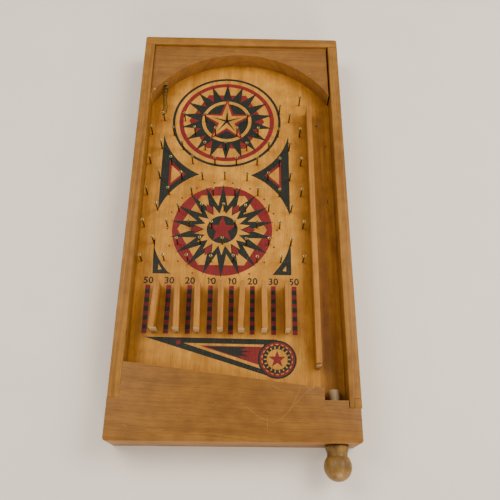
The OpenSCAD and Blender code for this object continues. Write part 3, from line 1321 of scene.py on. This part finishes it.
@dataclass
class NailField(SubAssembly):
    """Brass nails of the playfield, and the spring stretched between two of them."""

    head_d: float = 3.0
    head_h: float = 0.9
    shank_d: float = 1.4
    dish: float = 0.42
    lean_deg: float = 1.6
    sides: int = 16
    spring_d: float = 4.8
    wire_d: float = 0.85
    turns: int = 12
    sag: float = 0.5
    drift: float = 0.7

    def build(self) -> None:
        """Builds the nails and the spring."""
        for node in ("playfield_nails", "rebound_nails"):
            shape = bmesh.new()
            for number, (low, high) in enumerate(self.spots(node)):
                self._nail(shape, low, high, number)
            bmesh.ops.recalc_face_normals(shape, faces=shape.faces)
            # the bright brass is a painted highlight on the head rims, and the tarnish carries
            # painted shade in the dishes
            brass, tarnish = self.finishes.brass, self.finishes.old_brass
            nails = self.place(
                shape, f"brass_{node}", brass, Slot.BRASS, [node], smooth_deg=50
            )
            nails.data.materials.append(tarnish)
        self._spring()

    def spots(self, node: str) -> list[tuple[Vector, Vector]]:
        """Finds each nail of a packed group.

        Args:
            node: The group's node.

        Returns:
            The foot and the top of each nail in the bench frame.
        """
        shape = bmesh.new()
        shape.from_mesh(self.nodes[node].data)
        bmesh.ops.remove_doubles(shape, verts=shape.verts, dist=1e-6)
        found: list[tuple[Vector, Vector]] = []
        waiting = set(shape.verts)
        shift = Vector((0.0, self.bench.front_y, 0.0))
        while waiting:
            group = [waiting.pop()]
            for vert in group:
                for edge in vert.link_edges:
                    other = edge.other_vert(vert)
                    if other in waiting:
                        waiting.remove(other)
                        group.append(other)
            xs, ys, zs = zip(*(vert.co / MM - shift for vert in group))
            x, y = (min(xs) + max(xs)) / 2, (min(ys) + max(ys)) / 2
            found.append((Vector((x, y, min(zs))), Vector((x, y, max(zs)))))
        shape.free()
        return sorted(found, key=lambda pair: (round(pair[0].y), pair[0].x))

    def _nail(
        self, shape: bmesh.types.BMesh, foot: Vector, top: Vector, number: int
    ) -> None:
        """Turns one nail and drives it a little out of true.

        Args:
            shape: The shape that it joins.
            foot: Its foot in the panel.
            top: The top of its head.
            number: Its number, which sets how it leans.
        """
        length = top.z - foot.z
        shank, head = self.shank_d / 2, self.head_d / 2
        seat = length - self.head_h
        profile = [
            (0.02, 0.0),
            (shank, 1.2),
            (shank, seat - 0.35),
            (shank + 0.25, seat - 0.1),
            (head - 0.1, seat),
            (head, seat + 0.15),
            (head, seat + 0.55),
            (head - 0.16, length),
            (head - 0.6, length),
            (head - 0.8, length - 0.22),
            (0.02, length - self.dish),
        ]
        verts = [shape.verts.new((x, 0.0, z)) for x, z in profile]
        edges = [shape.edges.new(pair) for pair in zip(verts, verts[1:])]
        before = set(shape.verts) - set(verts)
        bmesh.ops.spin(
            shape,
            geom=verts + edges,
            axis=(0.0, 0.0, 1.0),
            cent=(0.0, 0.0, 0.0),
            angle=TAU,
            steps=self.sides,
            use_merge=True,
        )
        made = [vert for vert in shape.verts if vert not in before]
        tip = [vert for vert in made if vert.co.z < 0.01]
        dish = [vert for vert in made if vert.co.xy.length < 0.05 and vert.co.z > seat]
        for end, height in ((tip, 0.0), (dish, length - self.dish)):
            bmesh.ops.pointmerge(shape, verts=end, merge_co=(0.0, 0.0, height))
        made = [vert for vert in shape.verts if vert not in before]
        for face in {face for vert in made for face in vert.link_faces}:
            # the rim of the head is rubbed bright and painted brighter still as a highlight;
            # all the rest is tarnished, with painted shade in the head's dish
            middle = face.calc_center_median()
            lit_rim = middle.z > seat + 0.1 and middle.xy.length > head - 0.65
            face.material_index = 0 if lit_rim else 1
        chance = random.Random(number)
        lean = math.radians(chance.uniform(0.0, self.lean_deg))
        heading = chance.uniform(0.0, TAU)
        axis = Vector((math.cos(heading), math.sin(heading), 0.0))
        surface = self.bench.surface - foot.z
        pivot = Matrix.Translation((0.0, 0.0, surface))
        turn = pivot @ Matrix.Rotation(lean, 4, axis) @ pivot.inverted()
        bmesh.ops.transform(shape, matrix=Matrix.Translation(foot) @ turn, verts=made)

    def _spring(self) -> None:
        """Winds the rebound spring and hooks it round its two nails."""
        low, high = self.bench.box("rebound_spring")
        x, z = (low.x + high.x) / 2, (low.z + high.z) / 2
        start, end = low.y, high.y
        radius = (self.spring_d - self.wire_d) / 2
        hook = self.shank_d / 2 + self.wire_d / 2 + 0.02
        route: list[Vector] = []
        near = Vector((x, start - hook + 0.1, z))
        route += self._hook(near, hook, -1)
        steps = 14
        body = end - start
        for i in range(self.turns * steps + 1):
            share = i / (self.turns * steps)
            angle = TAU * self.turns * share
            swell = radius * min(1.0, 12 * share + 0.25, 12 * (1 - share) + 0.25)
            sag = self.sag * math.sin(math.pi * share)
            drift = self.drift * math.sin(7.0 * share)
            across = x + drift + swell * math.cos(angle)
            height = z - sag + swell * math.sin(angle)
            route.append(Vector((across, start + body * share, height)))
        far = Vector((x, end + hook - 0.1, z))
        route += self._hook(far, hook, 1)
        wire_through(
            self, route, self.wire_d, "brass_rebound_spring", self.finishes.spring_wire,
            Slot.BRASS, ["rebound_spring"],
        )

    @staticmethod
    def _hook(centre: Vector, radius: float, way: int) -> list[Vector]:
        """Points of the open loop that holds a nail.

        Args:
            centre: The nail's axis at the spring's height.
            radius: Radius of the wire's middle round the nail.
            way: 1 for the far end of the spring, -1 for the near end.

        Returns:
            The loop's points, in the order of the wire.
        """
        turns = [math.radians(-80 + 340 * i / 16) for i in range(17)]
        loop = [
            centre
            + Vector((radius * math.sin(a) * way, -way * radius * math.cos(a), 0.06 * i))
            for i, a in enumerate(turns)
        ]
        return loop if way > 0 else loop[::-1]


def wire_through(
    maker: SubAssembly,
    route: Sequence[Vector],
    wire_d: float,
    name: str,
    material: bpy.types.Material,
    slot: Slot,
    replaces: Sequence[str],
) -> bpy.types.Object:
    """Draws a wire along a route and makes it a closed mesh.

    Args:
        maker: The sub-assembly that the wire belongs to.
        route: The wire's middle line in the bench frame.
        wire_d: The wire's diameter.
        name: The piece's name.
        material: Its material.
        slot: The record's slot of its finish.
        replaces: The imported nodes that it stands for.

    Returns:
        The piece.
    """
    curve = bpy.data.curves.new(name, "CURVE")
    curve.dimensions = "3D"
    curve.bevel_depth = wire_d / 2
    curve.bevel_resolution = 2
    curve.use_fill_caps = True
    spline = curve.splines.new("POLY")
    spline.points.add(len(route) - 1)
    for point, place in zip(spline.points, route):
        point.co = (*place, 1.0)
    holder = bpy.data.objects.new(f"{name}_route", curve)
    bpy.context.scene.collection.objects.link(holder)
    depsgraph = bpy.context.evaluated_depsgraph_get()
    mesh = bpy.data.meshes.new_from_object(holder.evaluated_get(depsgraph))
    shape = bmesh.new()
    shape.from_mesh(mesh)
    bmesh.ops.remove_doubles(shape, verts=shape.verts, dist=0.001)
    bpy.data.meshes.remove(mesh)
    bpy.data.objects.remove(holder)
    bpy.data.curves.remove(curve)
    return maker.place(shape, name, material, slot, replaces, smooth_deg=80)


# ---- the plunger ----


@dataclass
class Plunger(SubAssembly):
    """Knob, rod, cross pin, washer and the spring that drives them."""

    joint: str = "plunger_pull"
    knob_steps: int = 64
    wire_d: float = 0.9
    spring_turns: int = 7
    closed_turn: float = 0.9
    travel: float = 14.0
    glue_gap: float = 0.02
    # radius of the neck and collar, and how far each point lies from the block's side
    neck: tuple[Point, ...] = (
        (8.3, 8.2), (8.24, 7.2), (8.34, 6.1), (8.55, 5.1), (8.84, 4.2), (9.14, 3.4),
        (9.42, 2.6), (9.64, 1.9), (9.75, 1.1), (9.6, 0.4), (9.2, 0.05), (8.8, 0.0),
    )

    def build(self) -> None:
        """Builds the plunger."""
        self._knob()
        self._rod()
        self._spring()
        for node in ("spring_washer", "cross_pin"):
            shape = self.eased(node, 0.12)
            self.place(
                shape, f"steel_{node}", self.finishes.steel, Slot.STEEL, [node], "plunger"
            )

    def _axis(self) -> tuple[float, float]:
        """The x and z of the rod's axis."""
        low, high = self.bench.box("plunger_rod")
        return (low.x + high.x) / 2, (low.z + high.z) / 2

    def _turned(
        self, profile: Sequence[Point], name: str, material: bpy.types.Material,
        slot: Slot, replaces: Sequence[str],
    ) -> None:
        """Turns a profile about the rod's axis.

        Args:
            profile: Radius and y of each point, along the outline from axis to axis.
            name: The piece's name.
            material: Its material.
            slot: The record's slot of its finish.
            replaces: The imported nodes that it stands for.
        """
        x, z = self._axis()
        shape = bmesh.new()
        verts = [shape.verts.new((x + max(r, 0.001), y, z)) for r, y in profile]
        edges = [shape.edges.new(pair) for pair in zip(verts, verts[1:])]
        bmesh.ops.spin(
            shape,
            geom=verts + edges,
            axis=(0.0, 1.0, 0.0),
            cent=(x, 0.0, z),
            angle=TAU,
            steps=self.knob_steps,
            use_merge=True,
        )
        bmesh.ops.remove_doubles(shape, verts=shape.verts, dist=0.01)
        bmesh.ops.recalc_face_normals(shape, faces=shape.faces)
        self.place(shape, name, material, slot, replaces, "plunger", smooth_deg=40)

    def _knob(self) -> None:
        """Turns the knob: a ball on a waisted neck with a collar."""
        low, high = self.bench.box("plunger_knob")
        ball = (high.x - low.x) / 2
        centre = low.y + ball
        rod_low, rod_high = self.bench.box("plunger_rod")
        socket = (rod_high.x - rod_low.x) / 2 + self.glue_gap
        face = high.y
        foot = rod_low.y - 0.3
        start = -math.pi / 2
        stop = math.radians(41.0)
        steps = 26
        outline: list[Point] = []
        for i in range(steps + 1):
            angle = start + (stop - start) * i / steps
            outline.append((ball * math.cos(angle), centre + ball * math.sin(angle)))
        outline += [(radius, face - reach) for radius, reach in self.neck]
        outline += [
            (socket + 0.3, face),
            (socket, face - 0.3),
            (socket, foot + 0.2),
            (socket - 0.3, foot),
            (0.0, foot),
        ]
        self._turned(
            outline, "turned_knob", self.finishes.knob, Slot.KNOB, ["plunger_knob"]
        )

    def _rod(self) -> None:
        """Turns the rod, its far end eased and dented by the ball."""
        low, high = self.bench.box("plunger_rod")
        radius = (high.x - low.x) / 2
        outline = [(0.0, low.y), (radius - 0.4, low.y), (radius, low.y + 0.4)]
        outline += [
            (radius - inset, high.y - drop)
            for inset, drop in ((0.0, 1.0), (0.3, 0.35), (0.9, 0.05), (1.6, 0.0))
        ]
        outline += [(2.0, high.y), (1.0, high.y - 0.12), (0.0, high.y - 0.18)]
        self._turned(outline, "dowel_rod", self.finishes.dowel, Slot.DOWEL, ["plunger_rod"])

    def _spring(self) -> None:
        """Winds the plunger spring and gives it a mesh of its own."""
        low, high = self.bench.box("plunger_spring")
        x, z = self._axis()
        radius = (high.x - low.x) / 2 - self.wire_d / 2
        start, end = low.y + self.wire_d / 2, high.y - self.wire_d / 2
        steps = 24 * self.spring_turns
        dead = self.closed_turn
        live_turns = self.spring_turns - 2 * dead
        route = []
        for i in range(steps + 1):
            turn = self.spring_turns * i / steps
            share = min(max(turn - dead, 0.0), live_turns) / live_turns
            shut = min(turn, dead) + max(turn - self.spring_turns + dead, 0.0)
            closed = self.wire_d * 0.5 * shut
            y = start + closed + (end - start - self.wire_d * dead) * share
            across = radius * math.cos(TAU * turn)
            route.append(Vector((x + across, y, z + radius * math.sin(TAU * turn))))
        piece = wire_through(
            self, route, self.wire_d, "steel_plunger_spring", self.finishes.steel,
            Slot.STEEL, ["plunger_spring"],
        )
        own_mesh(piece)


# ---- fasteners ----


@dataclass
class Fasteners(SubAssembly):
    """Brads in the rails and under the panel."""

    head_edge: float = 0.08

    def build(self) -> None:
        """Gives the brads eased heads."""
        for node in ("frame_brads", "panel_brads"):
            shape = self.eased(node, self.head_edge, 1)
            self.place(shape, f"steel_{node}", self.finishes.steel, Slot.STEEL, [node])


# ---- wear ----


@dataclass
class Wear(SubAssembly):
    """Scratches, chips and bruises that years of play have left."""

    scratch_d: float = 0.13
    scratch_sink: float = 0.05
    chip_z: float = 33.0
    chip_film: float = 0.02

    def build(self) -> None:
        """Builds the marks."""
        on_block = self.bench.rail_top - self.scratch_sink
        on_arch = self.chip_z - self.scratch_sink
        scratches = (
            (
                on_block,
                (8.9, 27.7), (20.5, 19.2), (31.6, 15.5), (39.7, 20.2), (52.9, 34.3),
                (62.0, 42.5),
            ),
            (on_block, (53.5, 43.0), (52.2, 39.7), (48.7, 32.9), (43.9, 23.5)),
            (on_block, (26.1, 20.9), (26.5, 9.3)),
            (on_block, (-70.0, 9.0), (-62.0, 8.2), (-55.0, 9.1)),
            (on_block, (-24.6, 4.2), (-22.4, 2.8)),
            (on_block, (-88.0, 12.0), (-84.5, 10.4)),
            (on_block, (30.0, 44.5), (38.0, 40.6), (47.0, 39.2)),
            (on_arch, (-89.3, 374.0), (-79.0, 375.6), (-69.6, 375.7)),
            (on_arch, (-81.1, 359.3), (-76.5, 364.6), (-70.9, 368.2)),
            (on_arch, (-69.0, 379.5), (-62.0, 384.2), (-55.6, 387.7)),
        )
        for number, (z, *points) in enumerate(scratches):
            route = self._smooth([Vector((x, y, z)) for x, y in points])
            wire_through(
                self, route, self.scratch_d, f"scratch_{number}", self.finishes.scratch,
                Slot.BLOCK, (),
            )
        self._chips()
        self._bruises()

    @staticmethod
    def _smooth(points: Sequence[Vector], steps: int = 7) -> list[Vector]:
        """Runs one smooth line through a few points.

        Args:
            points: The points.
            steps: How many places each stretch gives.

        Returns:
            The line's places.
        """
        ends = [points[0], *points, points[-1]]
        line: list[Vector] = []
        for before, first, last, after in zip(ends, ends[1:], ends[2:], ends[3:]):
            lead = first + (last - before) / 6
            trail = last - (after - first) / 6
            line += interpolate_bezier(first, lead, trail, last, steps)[:-1]
        return [*line, points[-1]]

    def _chips(self) -> None:
        """Pale chips where the lacquer has flaked off the arch block and rails."""
        shape = bmesh.new()
        top = self.bench.rail_top
        for x, y, z, size in (
            (73.1, 373.4, self.chip_z, 0.9),
            (-89.0, 349.0, self.chip_z, 1.5),
            (-60.5, 392.0, self.chip_z, 0.5),
            (64.0, 43.2, top, 0.6),
            (58.5, 43.8, top, 0.5),
            (-15.0, 30.0, top, 0.35),
            (-98.0, 200.0, top, 0.5),
        ):
            chance = random.Random(round(x + y))
            outline = [
                (
                    x + size * chance.uniform(0.5, 1.2) * math.cos(TAU * i / 9),
                    y + size * chance.uniform(0.4, 0.8) * math.sin(TAU * i / 9),
                )
                for i in range(9)
            ]
            self.plate(shape, outline, z, self.chip_film)
        self.place(shape, "lacquer_chips", self.finishes.scratch, Slot.BLOCK)

    def _bruises(self) -> None:
        """Dark bruises and pin knots on the rail, the lane wall and the lane floor."""
        shape = bmesh.new()
        floor = self.bench.surface
        for x, y, z, size in (
            (-self.bench.inner_x, 88.5, 32.5, (0.1, 3.0, 1.1)),
            (self.bench.wall_left, 92.0, 25.0, (0.1, 3.8, 0.9)),
            (self.bench.wall_left, 101.0, 24.0, (0.1, 0.9, 0.5)),
            (79.6, 318.0, floor, (1.6, 1.3, 0.05)),
            (88.1, 292.7, floor, (1.1, 0.8, 0.05)),
            (87.0, 228.0, floor, (0.6, 2.6, 0.05)),
        ):
            scale = Matrix.Diagonal((*size, 1.0))
            bmesh.ops.create_uvsphere(
                shape,
                u_segments=16,
                v_segments=8,
                radius=1.0,
                matrix=Matrix.Translation((x, y, z)) @ scale,
            )
        self.place(shape, "wood_bruises", self.finishes.bruise, Slot.STRIP)


# ---- the studio ----


@dataclass(frozen=True)
class SoftLight:
    """A large soft lamp that looks at the board."""

    name: str
    place: tuple[float, float, float]
    width: float
    watts: float
    colour: str

    def hang(self, target: Vector) -> None:
        """Hangs the lamp.

        Args:
            target: What it looks at, in metres.
        """
        lamp = bpy.data.lights.new(self.name, "AREA")
        lamp.shape = "SQUARE"
        lamp.size = self.width
        lamp.energy = self.watts
        lamp.color = linear(self.colour)[:3]
        holder = bpy.data.objects.new(self.name, lamp)
        holder.location = self.place
        look = target - Vector(self.place)
        holder.rotation_euler = look.to_track_quat("-Z", "Y").to_euler()
        bpy.context.scene.collection.objects.link(holder)


@dataclass
class Studio:
    """Camera, table and light."""

    bench: Bench
    lens: float = 41.48
    eye: tuple[float, float, float] = (5.08, -51.38, 508.16)
    tilt_deg: tuple[float, float, float] = (24.6527, -0.9817, 0.4956)
    sensor_mm: float = 36.0
    near_m: float = 0.01
    table_half_m: float = 3.0
    room_colour: str = "#E8E6E2"
    room_strength: float = 0.74
    # each lamp's name, place and width in metres, watts and colour
    lamps: tuple[SoftLight, ...] = (
        SoftLight("window", (-0.7, 0.3, 1.05), 0.6, 8.5, "#FFF8EE"),
        SoftLight("room", (0.9, 0.25, 1.1), 0.8, 17.0, "#FFFAF2"),
        SoftLight("player", (0.5, -2.5, 0.8), 1.2, 62.0, "#FFF8EE"),
    )

    def camera(self) -> None:
        """Sets up the camera above the player's edge."""
        body = bpy.data.cameras.new("camera")
        body.lens = self.lens
        body.sensor_width = self.sensor_mm
        body.clip_start = self.near_m
        holder = bpy.data.objects.new("camera", body)
        x, y, z = self.eye
        holder.location = Vector((x, y + self.bench.front_y, z)) * MM
        holder.rotation_euler = [math.radians(a) for a in self.tilt_deg]
        bpy.context.scene.collection.objects.link(holder)
        bpy.context.scene.camera = holder

    def table(self, material: bpy.types.Material) -> None:
        """Lays the table under the board.

        Args:
            material: The table's finish.
        """
        shape = bmesh.new()
        bmesh.ops.create_grid(shape, x_segments=8, y_segments=8, size=self.table_half_m)
        mesh = bpy.data.meshes.new("table")
        shape.to_mesh(mesh)
        shape.free()
        mesh.materials.append(material)
        table = bpy.data.objects.new("table", mesh)
        bpy.context.scene.collection.objects.link(table)

    def light(self) -> None:
        """Hangs the lamps and sets the room's own light."""
        for lamp in self.lamps:
            lamp.hang(Vector((0.0, 0.0, 0.0)))
        world = bpy.data.worlds.new("room")
        world.use_nodes = True
        sky = world.node_tree.nodes["Background"]
        sky.inputs["Color"].default_value = linear(self.room_colour)
        sky.inputs["Strength"].default_value = self.room_strength
        bpy.context.scene.world = world


def main() -> None:
    """Builds the board in order."""
    logging.basicConfig(level=logging.INFO, format="%(name)s: %(message)s")
    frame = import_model()
    bench = Bench.measure()
    studio = Studio(bench)
    studio.camera()
    finishes = Finishes.mix()
    for maker in (Case, Print, NailField, Plunger, Fasteners, Wear):
        maker(bench, finishes, frame["nodes"]).build()
    studio.table(finishes.table)
    studio.light()


if __name__ == "__main__":
    main()
